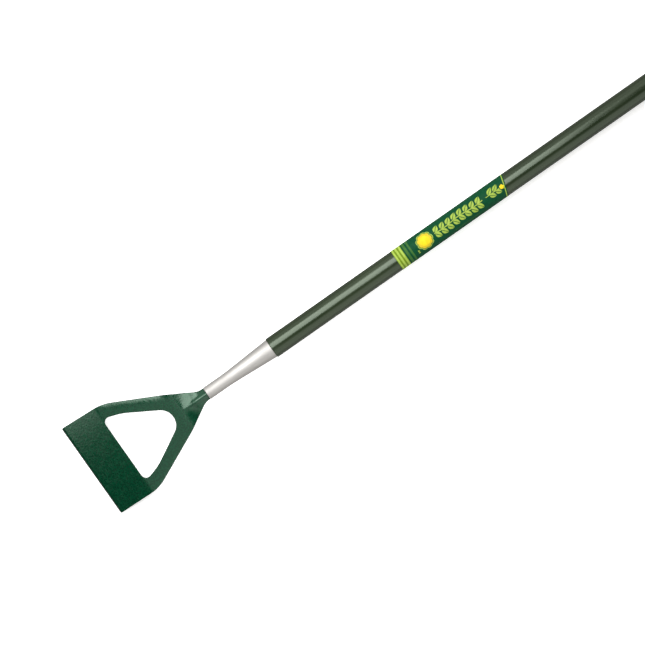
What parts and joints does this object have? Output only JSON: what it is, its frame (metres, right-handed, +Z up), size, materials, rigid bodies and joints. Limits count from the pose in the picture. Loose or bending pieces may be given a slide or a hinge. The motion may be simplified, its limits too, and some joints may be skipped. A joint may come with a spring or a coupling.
{
  "type": "dutch hoe",
  "caption": "Push hoe for weeding: flat pitched blade, open triangular pressed head, tapered plated ferrule and a straight tubular shaft in a plastic sleeve with an end cap.",
  "frame": {"origin": "on the floor under the middle of the hoe's length and width, with the hoe at rest on its cutting edge and its end cap", "axes": "+X from the blade to the grip end, along the length; +Y across the blade; +Z up, towards the blade's top face. The shaft axis falls 1.25 degrees towards the grip"},
  "size_m": [1.6854, 0.1426, 0.0606],
  "materials": {
    "head_paint": "hammered green enamel, glossy",
    "bare_steel": "bare mild steel, satin",
    "ferrule_plating": "bright plated steel, slightly drawn",
    "sleeve_pvc": "olive green PVC, semi-gloss",
    "label_film": "printed film, green with yellow print",
    "cap_plastic": "moulded dark green plastic"
  },
  "bodies": {
    "root": {"hoe_head": "head_paint", "head_tang": "head_paint", "tang_weld_left": "head_paint", "tang_weld_right": "head_paint", "ferrule": "ferrule_plating", "tang_pin": "bare_steel", "shaft_tube": "bare_steel", "pvc_sleeve": "sleeve_pvc", "shaft_label": "label_film", "tube_rivet": "bare_steel", "end_cap": "cap_plastic"}
  },
  "joints": []
}
